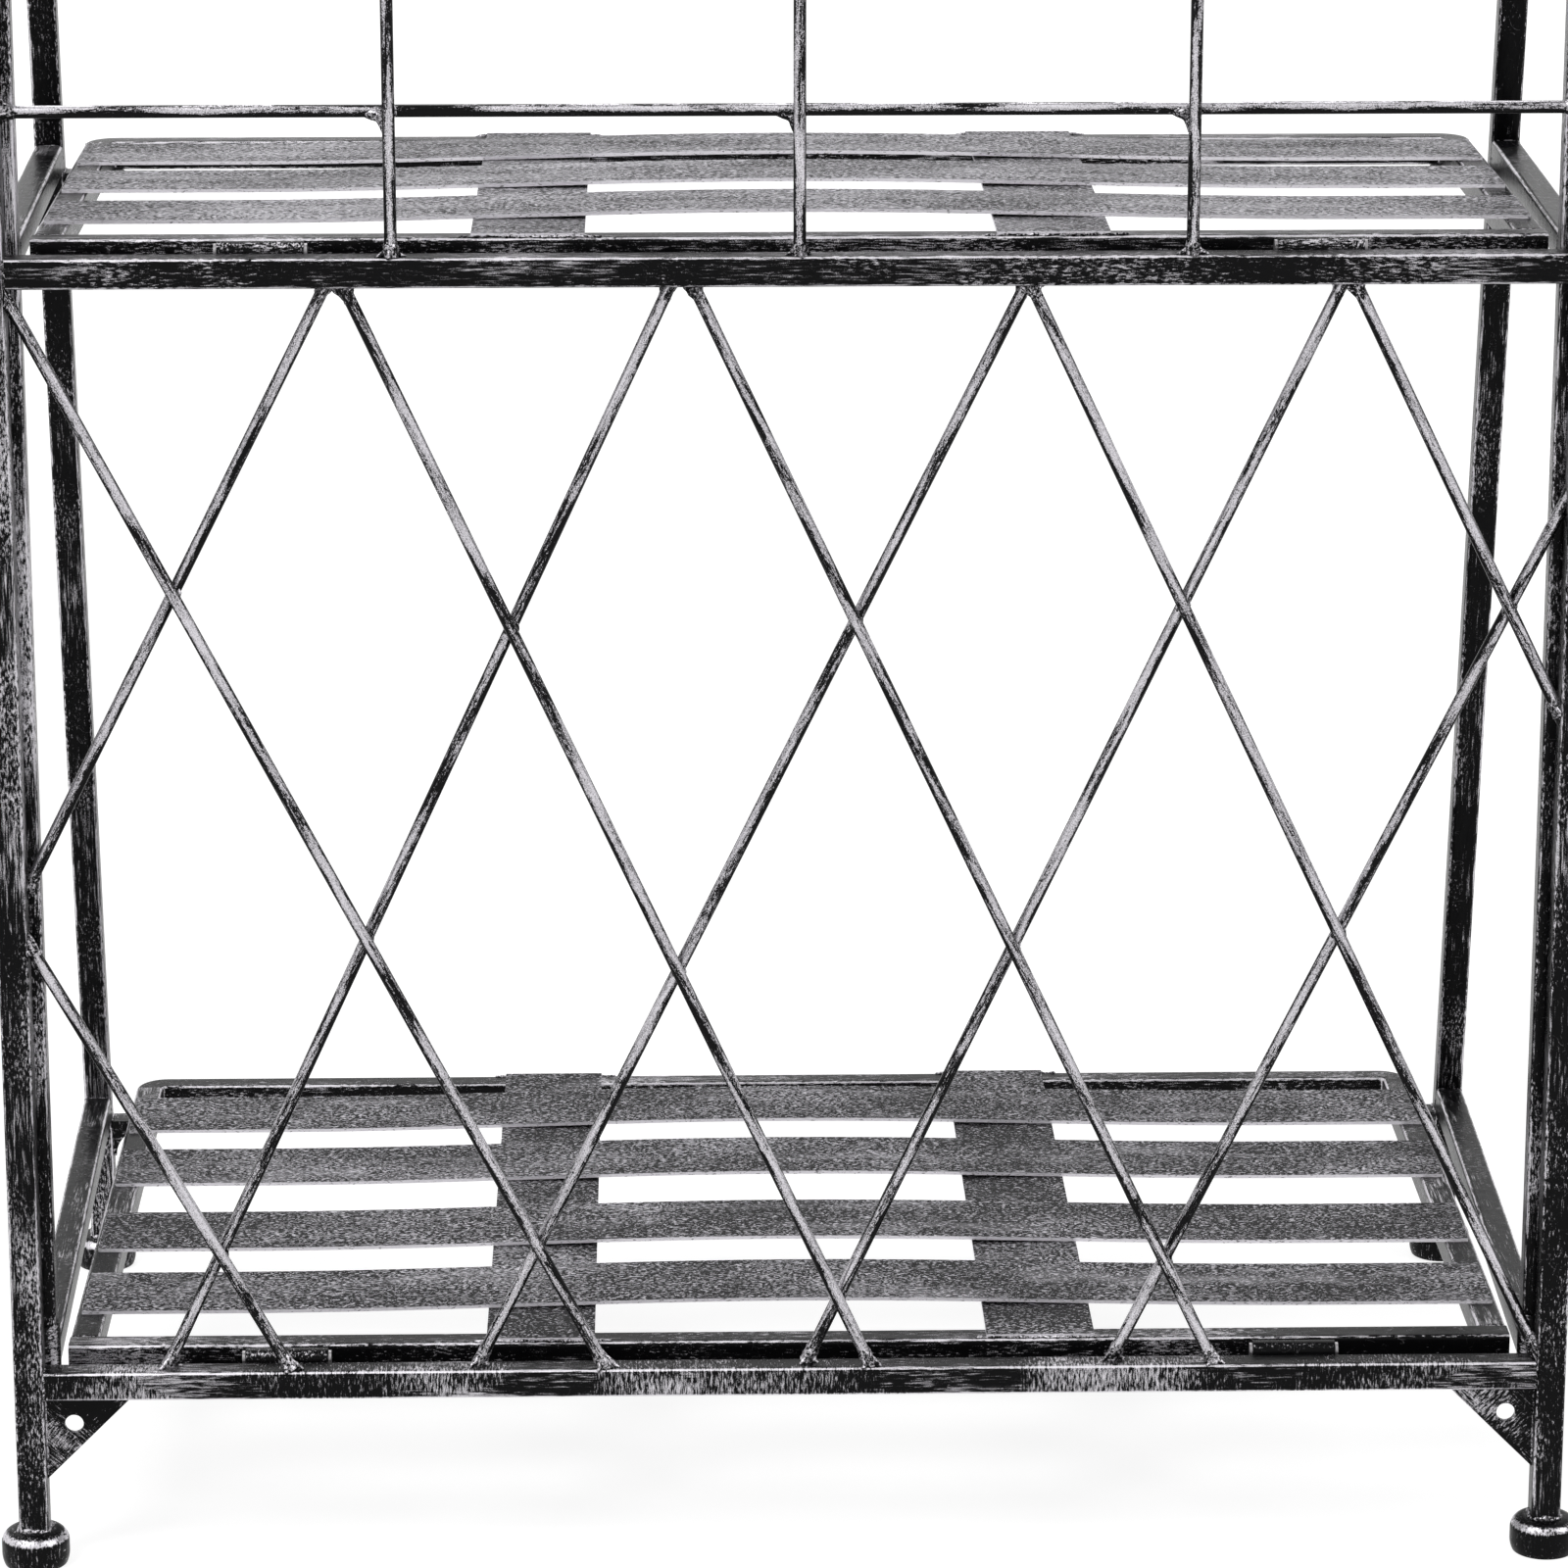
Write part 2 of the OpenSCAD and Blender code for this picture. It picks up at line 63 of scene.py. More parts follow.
# Turns that lay a piece's length along Z
ALONG_X = (0, math.radians(90), 0)
ALONG_Y = (math.radians(90), 0, 0)
ALONG_Z = (0, 0, 0)
ALONG_GUSSET = (0, math.radians(45), 0)

# Brush strokes in grains per metre: twice across a piece that lies along Z, and once along it
LONG_STROKES = (1500, 1500, 90)
CROSS_STROKES = (270, 270, 1500)
SHORT_STROKES = (1300, 1300, 420)

# Ways that a rod's end can face
UP = Vector((0, 0, 1))
DOWN = Vector((0, 0, -1))
LEFT = Vector((-1, 0, 0))
RIGHT = Vector((1, 0, 0))

# Radius of the rods, and length of one lump of a weld bead
ROD_R = 2.6 * MM
LUMP_STEP = 1.3 * MM

# Neck of the weld at a rod's end: how far up, in shares of its height, and how much wider than the rod
NECK = ((1.5, -0.1), (1.1, 0.3), (0.7, 0.45), (0.3, 0.3), (0.0, 0.6))

# Weld that runs from a guard rod round an upright: places in millimetres from the crossing, with radii
GUARD_WRAP = (
    ((-9.0, 2.2, -0.6), 2.0),
    ((-5.0, 1.2, -1.2), 2.9),
    ((-2.8, 0.0, -2.6), 2.5),
    ((-2.2, -1.4, -5.0), 1.7),
    ((-1.9, -2.0, -9.0), 0.7),
)

# Lamps: name, direction, softness in degrees and strength
LAMPS = (
    ("key_lamp", (0.50, 0.55, -1.0), 18.0, 1.15),
    ("side_lamp", (-0.95, 0.35, -0.75), 20.0, 0.60),
    ("rear_lamp", (0.10, -0.80, -1.0), 30.0, 0.70),
)


class StandFinish(bpy.types.PropertyGroup):
    """Colours and amounts of the dry-brushed finish."""

    black: FloatVectorProperty(
        name="Black", description="Black paint under the silver", subtype="COLOR", size=4,
        default=(0.0035, 0.0035, 0.004, 1.0), min=0.0, max=1.0,
    )
    silver: FloatVectorProperty(
        name="Silver", description="Antique silver brushed over the black", subtype="COLOR", size=4,
        default=(0.36, 0.35, 0.37, 1.0), min=0.0, max=1.0,
    )
    slat_grey: FloatVectorProperty(
        name="Slat grey", description="Light grain of the slats", subtype="COLOR", size=4,
        default=(0.24, 0.235, 0.25, 1.0), min=0.0, max=1.0,
    )
    steel: FloatVectorProperty(
        name="Steel", description="Bare steel of pins and hinge rods", subtype="COLOR", size=4,
        default=(0.42, 0.41, 0.42, 1.0), min=0.0, max=1.0,
    )
    tube_cover: FloatProperty(
        name="Silver on tubes", description="Share of the square tubes that is silver",
        default=0.20, min=0.0, max=1.0, subtype="FACTOR",
    )
    rod_cover: FloatProperty(
        name="Silver on rods", description="Share of the round rods that is silver",
        default=0.36, min=0.0, max=1.0, subtype="FACTOR",
    )
    fitting_cover: FloatProperty(
        name="Silver on fittings", description="Share of feet, caps and plates that is silver",
        default=0.15, min=0.0, max=1.0, subtype="FACTOR",
    )
    weld_lump: FloatProperty(
        name="Weld lumps", description="Height of the lumps on the weld beads", unit="LENGTH",
        default=0.0005, min=0.0, max=0.002, precision=5,
    )


class StandStudio(bpy.types.PropertyGroup):
    """Camera and light."""

    camera_place: FloatVectorProperty(
        name="Camera", description="Place of the camera", subtype="TRANSLATION", unit="LENGTH", size=3,
        default=(-0.055, PANEL_Y - 2.350, 0.999),
    )
    camera_pitch: FloatProperty(
        name="Pitch", description="How far the camera looks down", subtype="ANGLE",
        default=math.radians(15.55),
    )
    camera_yaw: FloatProperty(
        name="Yaw", description="How far the camera looks to the right", subtype="ANGLE",
        default=math.radians(1.26),
    )
    camera_lens: FloatProperty(
        name="Lens", description="Focal length for a 36 mm sensor, in millimetres",
        default=134.75, min=20.0, max=400.0,
    )
    floor_size: FloatProperty(
        name="Floor", description="Width of the floor", unit="LENGTH", default=40.0, min=4.0, max=60.0,
    )
    floor_glow: FloatProperty(
        name="Floor glow", description="Whiteness of the floor where it is seen directly",
        default=0.86, min=0.0, max=1.0,
    )
    sky_light: FloatProperty(
        name="Sky light", description="Even light from all around", default=0.32, min=0.0, max=1.0,
    )


def put(tree, kind, inputs=None, **settings):
    """Add a shader node. Inputs hold values, or the sockets that feed them."""
    made = tree.nodes.new(kind)
    for name, value in settings.items():
        setattr(made, name, value)
    for key, value in (inputs or {}).items():
        if isinstance(value, bpy.types.NodeSocket):
            tree.links.new(value, made.inputs[key])
        else:
            made.inputs[key].default_value = value
    return made


def calc(tree, operation, a, b=0.0):
    """One step of arithmetic."""
    return put(tree, "ShaderNodeMath", {0: a, 1: b}, operation=operation).outputs[0]


def times(tree, a, b):
    """Product of two values."""
    return calc(tree, "MULTIPLY", a, b)


def add_up(tree, first, *weighted):
    """A value plus other values, each with its weight."""
    for value, weight in weighted:
        first = calc(tree, "ADD", first, times(tree, value, weight))
    return first


def off_middle(tree, value):
    """How far a noise value lies from its middle."""
    return calc(tree, "SUBTRACT", value, 0.5)


def between(tree, value, low, high):
    """0 at low, 1 at high, and a smooth step between them."""
    inputs = {"Value": value, "From Min": low, "From Max": high}
    made = put(tree, "ShaderNodeMapRange", inputs, interpolation_type="SMOOTHSTEP")
    return made.outputs["Result"]


def upward(tree, vector):
    """The Z part of a place or a direction."""
    return put(tree, "ShaderNodeSeparateXYZ", {0: vector}).outputs[2]


def turned(tree, vector, turn):
    """Turn a place so that the piece's length is along Z."""
    return put(tree, "ShaderNodeMapping", {"Vector": vector, "Rotation": turn}).outputs[0]


def grain(tree, vector, scale, detail=3.0, roughness=0.6, distortion=0.0):
    """Noise with so many grains per metre along each axis."""
    scaled = put(tree, "ShaderNodeMapping", {"Vector": vector, "Scale": scale}).outputs[0]
    shape = {"Detail": detail, "Roughness": roughness, "Distortion": distortion}
    return put(tree, "ShaderNodeTexNoise", {"Vector": scaled, "Scale": 1.0, **shape}).outputs["Fac"]


def vector_step(tree, operation, inputs):
    """One step of arithmetic on places."""
    return put(tree, "ShaderNodeVectorMath", inputs, operation=operation).outputs[0]


def swirled(tree, vector, scale, reach):
    """Push places about by a slow noise, so that a straight grain winds."""
    noise_inputs = {"Vector": vector, "Scale": scale, "Detail": 1.0}
    slow = put(tree, "ShaderNodeTexNoise", noise_inputs).outputs["Color"]
    shift = vector_step(tree, "SUBTRACT", {0: slow, 1: (0.5, 0.5, 0.5)})
    shift = vector_step(tree, "SCALE", {0: shift, "Scale": reach})
    return vector_step(tree, "ADD", {0: vector, 1: shift})


def mix_value(tree, factor, a, b):
    """Blend of two values."""
    return put(tree, "ShaderNodeMix", {0: factor, 2: a, 3: b}, data_type="FLOAT").outputs[0]


def mix_colour(tree, factor, a, b):
    """Blend of two colours."""
    return put(tree, "ShaderNodeMix", {0: factor, 6: a, 7: b}, data_type="RGBA").outputs[2]


def shade(colour, amount):
    """A colour made darker, or lighter where the amount is over 1."""
    return tuple(c * amount for c in colour[:3]) + (1.0,)


def new_material(name):
    """Empty node material and its principled shader."""
    material = bpy.data.materials.new(name)
    material.use_nodes = True
    tree = material.node_tree
    tree.nodes.clear()
    shader = tree.nodes.new("ShaderNodeBsdfPrincipled")
    out = tree.nodes.new("ShaderNodeOutputMaterial")
    tree.links.new(shader.outputs[0], out.inputs[0])
    return material, tree, shader


def feed(tree, shader, colour, metal, rough):
    """Feed colour, metal and roughness to the shader."""
    tree.links.new(colour, shader.inputs["Base Color"])
    tree.links.new(metal, shader.inputs["Metallic"])
    tree.links.new(rough, shader.inputs["Roughness"])


def emboss(tree, shader, relief, strength, depth):
    """Turn a relief into bump of so many metres."""
    bump = put(tree, "ShaderNodeBump", {"Height": relief, "Strength": strength, "Distance": depth})
    tree.links.new(bump.outputs[0], shader.inputs["Normal"])


def corner_of(tree, normal, turn):
    """1 on the round corners of a square tube and 0 on its flats, from the surface's own direction."""
    laid = put(tree, "ShaderNodeMapping", {"Vector": normal, "Rotation": turn}, vector_type="VECTOR")
    parts = put(tree, "ShaderNodeSeparateXYZ", {0: laid.outputs[0]})
    sides = [calc(tree, "ABSOLUTE", parts.outputs[i]) for i in range(3)]
    most = calc(tree, "MAXIMUM", calc(tree, "MAXIMUM", sides[0], sides[1]), sides[2])
    return between(tree, calc(tree, "SUBTRACT", 1.0, most), 0.06, 0.19)


def hairlines(tree, spot):
    """Thin curled scratches, in some places only."""
    slow = grain(tree, spot, (85, 85, 85), 1.0, 0.5, 1.2)
    line = calc(tree, "ABSOLUTE", off_middle(tree, slow))
    line = calc(tree, "SUBTRACT", 1.0, between(tree, line, 0.002, 0.007))
    some = between(tree, grain(tree, spot, (230, 230, 230), 2.0), 0.52, 0.60)
    return times(tree, line, some)


def dry_brush(
    name, cover, turn, strokes, crossed, swing=1.2, edge=0.70, lift=0.0, hair=0.8, band=None, rise=0.0,
):
    """Black paint with antique silver dry-brushed over it, here in strokes and there in crossed ones. The
    cover swings from place to place. Edge adds to it on the corners, lift on what looks up, band in a ring
    below the top, and rise towards the top of the stand. Hair is the strength of thin scratches."""
    finish = bpy.context.scene.stand_finish
    material, tree, shader = new_material(name)
    place = put(tree, "ShaderNodeTexCoord")
    spot, normal = place.outputs["Object"], place.outputs["Normal"]
    laid = turned(tree, spot, turn)
    along = grain(tree, laid, strokes, 4.0, 0.66, 0.3)
    across = grain(tree, laid, crossed, 3.0, 0.62, 0.2)
    fine = grain(tree, spot, (2900, 2900, 2900), 3.0, 0.7)
    patch = grain(tree, laid, (26, 26, 12), 3.0, 0.6)
    way = between(tree, grain(tree, laid, (34, 34, 17), 1.0), 0.44, 0.54)
    up = upward(tree, normal)
    # More silver on the corners: partly edge wear, partly a painted highlight along the edges
    worn = corner_of(tree, normal, turn)
    full = 2 * swing
    here = add_up(tree, off_middle(tree, patch), (worn, edge / full), (up, lift / full))
    if band:
        # A ring of extra silver where the surface turns from its side to its top: partly wear, partly a
        # painted highlight on the shoulder
        worn = times(tree, between(tree, up, 0.20, 0.45), between(tree, up, 0.90, 0.65))
        here = add_up(tree, here, (worn, band / full))
    share = calc(tree, "ADD", times(tree, here, full), cover)
    if rise:
        share = add_up(tree, share, (between(tree, upward(tree, spot), 0.15, 0.60), rise))
    # A stroke is silver where it stands over a limit that falls as the share grows
    limit = calc(tree, "SUBTRACT", 0.64, times(tree, share, 0.28))
    stroke = add_up(tree, mix_value(tree, way, along, across), (off_middle(tree, fine), 0.35))
    over = calc(tree, "SUBTRACT", stroke, limit)
    mask = between(tree, over, -0.035, 0.085)
    if hair:
        mask = calc(tree, "MAXIMUM", mask, times(tree, hairlines(tree, spot), hair))
    # Painted highlight: the silver is brighter on the corners, or on the ring where there is one
    rub = between(tree, add_up(tree, fine, (over, 1.1), (worn, 0.12)), 0.36, 0.84)
    silver = mix_colour(tree, rub, shade(finish.silver, 0.16), shade(finish.silver, 2.1))
    colour = mix_colour(tree, mask, tuple(finish.black), silver)
    feed(tree, shader, colour, times(tree, mask, 0.85), add_up(tree, 0.20, (patch, 0.16), (mask, 0.08)))
    shader.inputs["Specular IOR Level"].default_value = 0.08
    dents = grain(tree, laid, (240, 240, 160), 2.0, 0.5)
    relief = add_up(tree, times(tree, mask, 0.25), (stroke, 0.25), (dents, 1.0))
    emboss(tree, shader, relief, 0.55, 0.35 * MM)
    return material


def rod_brush(name, cover, turn):
    """Round rod: silver in front, behind and on top, black at its sides and under it, partly brush wear and
    partly painted highlight and shade, and black paint left in long streaks and pits."""
    finish = bpy.context.scene.stand_finish
    material, tree, shader = new_material(name)
    place = put(tree, "ShaderNodeTexCoord")
    spot, normal = place.outputs["Object"], place.outputs["Normal"]
    laid = turned(tree, spot, turn)
    streak = grain(tree, laid, (330, 330, 24), 3.0, 0.55, 0.4)
    fine = grain(tree, laid, (1900, 1900, 330), 3.0, 0.65)
    speck = grain(tree, spot, (1900, 1900, 1900), 3.0, 0.7)
    patch = grain(tree, laid, (20, 20, 11), 2.0, 0.6)
    # Painted highlight and shade: silver gains where the rod faces up, front or back, and black gains at its
    # sides and underneath; partly brush wear, partly standing in for the studio light
    parts = put(tree, "ShaderNodeSeparateXYZ", {0: normal})
    out = calc(tree, "SUBTRACT", calc(tree, "ABSOLUTE", parts.outputs[1]), 0.6)
    shown = add_up(tree, times(tree, parts.outputs[2], 0.85), (out, 0.8))
    share = calc(tree, "ADD", times(tree, off_middle(tree, patch), 1.2), cover)
    share = calc(tree, "ADD", share, shown)
    limit = calc(tree, "SUBTRACT", 0.66, times(tree, share, 0.32))
    value = add_up(tree, streak, (off_middle(tree, fine), 0.5), (off_middle(tree, speck), 0.45))
    over = calc(tree, "SUBTRACT", value, limit)
    mask = between(tree, over, -0.022, 0.065)
    # Painted highlight: the silver is also brighter where the rod faces up, front or back
    rub = between(tree, add_up(tree, speck, (over, 0.7), (shown, 0.10)), 0.36, 0.80)
    silver = mix_colour(tree, rub, shade(finish.silver, 0.25), shade(finish.silver, 2.0))
    colour = mix_colour(tree, mask, tuple(finish.black), silver)
    feed(tree, shader, colour, times(tree, mask, 0.88), add_up(tree, 0.16, (patch, 0.12), (mask, 0.06)))
    shader.inputs["Specular IOR Level"].default_value = 0.1
    dents = grain(tree, laid, (300, 300, 120), 2.0)
    relief = add_up(tree, times(tree, mask, 0.3), (fine, 0.3), (dents, 0.8))
    emboss(tree, shader, relief, 0.5, 0.3 * MM)
    return material


def slat_metal(name, turn, paleness):
    """Flat strip: dark, with a fine winding grain of short silver dashes, pale rubbed bands and bright edges.
    The larger the last argument, the paler the strip."""
    finish = bpy.context.scene.stand_finish
    material, tree, shader = new_material(name)
    place = put(tree, "ShaderNodeTexCoord")
    spot, normal = place.outputs["Object"], place.outputs["Normal"]
    laid = swirled(tree, turned(tree, spot, turn), 46.0, 0.010)
    dash = grain(tree, laid, (1800, 1800, 480), 1.0, 0.4, 0.1)
    dust = grain(tree, spot, (2300, 2300, 2300), 2.0, 0.6)
    band = grain(tree, laid, (110, 60, 9), 3.0, 0.6, 0.3)
    patch = grain(tree, spot, (13, 22, 13), 2.0, 0.5)
    amount = add_up(tree, dash, (off_middle(tree, dust), 0.25), (off_middle(tree, patch), 0.22))
    mask = between(tree, amount, 0.565 - paleness, 0.62 - paleness)
    pale = times(tree, between(tree, band, 0.52 - 2 * paleness, 0.72 - 2 * paleness), 0.8)
    side = between(tree, calc(tree, "ABSOLUTE", upward(tree, normal)), 0.7, 0.3)
    grey, silver = finish.slat_grey, finish.silver
    dark = mix_colour(tree, between(tree, dust, 0.35, 0.70), shade(grey, 0.02), shade(grey, 0.18))
    dark = mix_colour(tree, pale, dark, shade(grey, 0.75))
    face = mix_colour(tree, mask, dark, shade(grey, 2.5))
    edge = mix_colour(tree, between(tree, amount, 0.26, 0.38), shade(silver, 0.8), shade(silver, 2.6))
    metal = calc(tree, "MAXIMUM", add_up(tree, 0.02, (mask, 0.5)), times(tree, side, 0.45))
    rough = add_up(tree, 0.38, (patch, 0.14), (pale, -0.06))
    feed(tree, shader, mix_colour(tree, side, face, edge), metal, rough)
    shader.inputs["Specular IOR Level"].default_value = 0.03
    relief = add_up(tree, times(tree, mask, 0.6), (dash, 0.6), (dust, 0.25))
    emboss(tree, shader, relief, 0.55, 0.22 * MM)
    return material


def bare_steel(name):
    """Satin steel with fine turning marks and a little paint left on it."""
    finish = bpy.context.scene.stand_finish
    material, tree, shader = new_material(name)
    spot = put(tree, "ShaderNodeTexCoord").outputs["Object"]
    ring = grain(tree, spot, (1500, 300, 300), 2.0, 0.5)
    stain = between(tree, grain(tree, spot, (200, 200, 200), 4.0, 0.65), 0.56, 0.68)
    worn = mix_colour(tree, ring, shade(finish.steel, 0.6), tuple(finish.steel))
    colour = mix_colour(tree, stain, worn, tuple(finish.black))
    metal = calc(tree, "SUBTRACT", 0.9, times(tree, stain, 0.9))
    feed(tree, shader, colour, metal, add_up(tree, 0.30, (ring, 0.2)))
    emboss(tree, shader, ring, 0.3, 0.1 * MM)
    return material


def weld_metal():
    """The finish of the weld beads, made once."""
    made = bpy.data.materials.get("weld_bead")
    cover = bpy.context.scene.stand_finish.fitting_cover + 0.32
    lumps, crossed = (1000, 1000, 800), (800, 1000, 1000)
    return made or dry_brush(
        "weld_bead", cover, ALONG_Z, lumps, crossed, swing=1.0, edge=0.0, lift=0.3, hair=0.0,
    )


def paint(node, material):
    """Give a node of the frame one material."""
    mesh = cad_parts[node].data
    mesh.materials.clear()
    mesh.materials.append(material)


def nodes_with(*words):
    """Names of the frame's nodes that hold one of the words."""
    return [n for n in sorted(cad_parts) if any(w in n for w in words)]


def solids_of(node):
    """Corner points of each separate solid of a node, in an order that is the same each run."""
    net = bmesh.new()
    net.from_mesh(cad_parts[node].data)
    bmesh.ops.remove_doubles(net, verts=net.verts, dist=0.001 * MM)
    left, found = set(net.verts), []
    while left:
        todo, points = [left.pop()], []
        while todo:
            corner = todo.pop()
            points.append(corner.co.copy())
            for edge in corner.link_edges:
                other = edge.other_vert(corner)
                if other in left:
                    left.remove(other)
                    todo.append(other)
        found.append(sorted(points, key=tuple))
    net.free()
    return sorted(found, key=rough_middle)


def rough_middle(points):
    """Mean of some points, to a tenth of a millimetre."""
    return tuple(round(sum(p[i] for p in points) / len(points), 4) for i in range(3))


def end_points(points, axis, high):
    """The points at one end of a long solid."""
    middle = (min(p[axis] for p in points) + max(p[axis] for p in points)) / 2
    return [p for p in points if (p[axis] > middle) == high]


def rod_line(points, axis):
    """Centres of a rod's two ends."""
    ends = [end_points(points, axis, high) for high in (False, True)]
    return [sum(end, Vector()) / len(end) for end in ends]


def seam(beads, a, b, size, seed):
    """A lumpy bead of weld from a to b."""
    count = max(3, round((b - a).length / LUMP_STEP))
    bead = []
    for i in range(count + 1):
        wander = noise_vector(Vector((seed * 7.3, i * 0.61, 1.7))) * size * 0.35
        swell = 0.80 + 0.34 * noise(Vector((seed * 3.1, i * 0.83, 0.4)))
        if i in (0, count):
            swell *= 0.45
        bead.append((a.lerp(b, i / count) + wander, size * swell))
    beads.append(bead)


def ring_of_seams(beads, points, axis, high, size, seed):
    """Weld round the four sides of a square tube's end."""
    end = end_points(points, axis, high)
    u, v = [i for i in range(3) if i != axis]
    quarters = ((1, 1), (-1, 1), (-1, -1), (1, -1))
    corners = [max(end, key=lambda p: su * p[u] + sv * p[v]) for su, sv in quarters]
    for i in range(4):
        seam(beads, corners[i], corners[(i + 1) % 4], size, seed + i)


def splay(beads, foot, along, face, spread, height, fins, seed, plump=0.6):
    """Weld at a rod's end: a plump neck, and fins that run out onto the face it stands on."""
    along = along.normalized()
    first = face.orthogonal().normalized()
    second = face.cross(first).normalized()
    beads.append([(foot + along * height * rise, ROD_R * (1 + more * plump)) for rise, more in NECK])
    for k in range(fins):
        turn = k + 0.5 + 0.35 * noise(Vector((seed * 5.3, k * 1.9, 0.2)))
        angle = 2 * math.pi * turn / fins
        out = first * math.cos(angle) + second * math.sin(angle)
        side = (out - along * out.dot(along)).normalized()
        tall = height * (1.0 + 0.45 * noise(Vector((seed * 2.9, k * 2.3, 0.9))))
        wide = spread * (1.0 + 0.35 * noise(Vector((seed * 4.7, k * 1.3, 0.5))))
        beads.append([
            (foot + along * tall + side * ROD_R * 0.75, 0.3 * MM),
            (foot + along * tall * 0.55 + side * ROD_R * 1.05, 0.8 * MM),
            (foot + along * tall * 0.2 + side * ROD_R * 0.9 + out * (wide - ROD_R) * 0.35, 1.15 * MM),
            (foot + out * wide * 0.85 + face * 0.4 * MM, 0.95 * MM),
            (foot + out * wide * 1.1, 0.4 * MM),
        ])


def weld_piece(name, body, beads):
    """Turn beads into one mesh that rides on a body. A bead is a row of places, each with its radius."""
    curve = bpy.data.curves.new(name, "CURVE")
    curve.dimensions = "3D"
    curve.bevel_depth = MM
    curve.bevel_resolution = 1
    curve.resolution_u = 2
    curve.use_fill_caps = True
    for bead in beads:
        spline = curve.splines.new("NURBS")
        spline.points.add(len(bead) - 1)
        spline.order_u = 3
        spline.use_endpoint_u = True
        for point, (spot, radius) in zip(spline.points, bead):
            point.co = (*spot, 1.0)
            point.radius = radius / MM
    drawn = bpy.data.objects.new(name, curve)
    mesh = bpy.data.meshes.new_from_object(drawn)
    bpy.data.objects.remove(drawn)
    bpy.data.curves.remove(curve)
    lump = bpy.context.scene.stand_finish.weld_lump
    lumps_per_metre = 520
    net = bmesh.new()
    net.from_mesh(mesh)
    net.normal_update()
    for corner in net.verts:
        corner.co += corner.normal * noise(corner.co * lumps_per_metre) * lump
    for face in net.faces:
        face.smooth = True
    net.to_mesh(mesh)
    net.free()
    mesh.name = name
    mesh.materials.clear()
    mesh.materials.append(weld_metal())
    piece = bpy.data.objects.new(name, mesh)
    bpy.context.scene.collection.objects.link(piece)
    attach(piece, body)
    return piece


def weld_uprights(beads, uprights):
    """Upright rods, from rail to rail."""
    for k, (low, high) in enumerate(uprights):
        splay(beads, low, UP, UP, 5.4 * MM, 4.2 * MM, fins=4, seed=k + 0.3)
        splay(beads, high, DOWN, DOWN, 4.6 * MM, 5.0 * MM, fins=3, seed=k + 20.3)


def weld_lattice(beads, rods):
    """Ends of the crossing rods, on a rail or on a leg."""
    leg_face = abs(LEG_HIGH.x)
    for k, (low, high) in enumerate(rods):
        for end, other, up in ((low, high, 1), (high, low, -1)):
            face = Vector((0, 0, up))
            if abs(end.x) > leg_face - 0.4 * MM:
                face = Vector((-math.copysign(1, end.x), 0, 0))
            plump = 0.6 if up > 0 else 0.25
            splay(beads, end, other - end, face, 5.0 * MM, 6.0 * MM, 3, k + 40.7 + 9 * up, plump)


def weld_crossings(beads, near_rods, far_rods):
    """A small bead at each side where a near rod crosses a far one."""
    clear_of_ends = 10 * MM
    half_bead = Vector((0, 0, 2.4 * MM))
    for a, b in near_rods:
        for c, d in far_rods:
            slope, other = (b.x - a.x) / (b.z - a.z), (d.x - c.x) / (d.z - c.z)
            z = (c.x - a.x + slope * a.z - other * c.z) / (slope - other)
            if not max(a.z, c.z) + clear_of_ends < z < min(b.z, d.z) - clear_of_ends:
                continue
            centre = Vector((a.x + slope * (z - a.z), PANEL_Y, z))
            for side in (-1, 1):
                spot = centre + Vector((side * ROD_R, 0, 0))
                seam(beads, spot - half_bead, spot + half_bead, 0.8 * MM, z * 900 + side)


def weld_guards(beads, guards, uprights):
    """Guard rods, welded to the legs and run to the uprights behind them."""
    for k, (left, right) in enumerate(guards):
        splay(beads, left, RIGHT, RIGHT, 4.6 * MM, 5.0 * MM, fins=4, seed=k + 60.1)
        splay(beads, right, LEFT, LEFT, 4.6 * MM, 5.0 * MM, fins=4, seed=k + 64.1)
        for j, (low, high) in enumerate(uprights):
            if not low.z < left.z < high.z:
                continue
            spot = Vector((low.x, PANEL_Y, left.z))
            beads.append([(spot + Vector(shift) * MM, radius * MM) for shift, radius in GUARD_WRAP])
            low_end, high_end = Vector((2.6, 0, -2.2)) * MM, Vector((2.4, 0, 2.6)) * MM
            seam(beads, spot + low_end, spot + high_end, 1.0 * MM, j + 70.0)


def weld_rails(beads):
    """Both ends of each rail, and the feet of the legs."""
    for node in nodes_with("bottom_rail", "middle_rail", "top_rail", "crest_rail"):
        if "knuckles" in node:
            continue
        points = solids_of(node)[0]
        ring_of_seams(beads, points, 0, False, 0.85 * MM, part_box(node)[0].z * 31)
        ring_of_seams(beads, points, 0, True, 0.85 * MM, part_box(node)[0].z * 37)
    for node in ("leg_left", "leg_right"):
        for points in solids_of(node):
            ring_of_seams(beads, points, 2, False, 2.1 * MM, 80.0 + len(node))


def weld_gusset(beads, node):
    """Along the leg and along the rail, on both faces, and up the leg from the gusset's tip."""
    low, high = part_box(node)
    leg_x, rail_x = (low.x, high.x) if node == "gusset_left" else (high.x, low.x)
    for y in (low.y, high.y):
        top = Vector((leg_x, y, high.z))
        seam(beads, top, Vector((leg_x, y, low.z + 2 * MM)), 0.8 * MM, y * 900)
        seam(beads, top, Vector((rail_x, y, high.z)), 0.7 * MM, y * 700)
    tip = Vector((leg_x, PANEL_Y, low.z + 3 * MM))
    seam(beads, tip, tip + Vector((0, 0, 4.5 * MM)), 1.6 * MM, leg_x * 50)


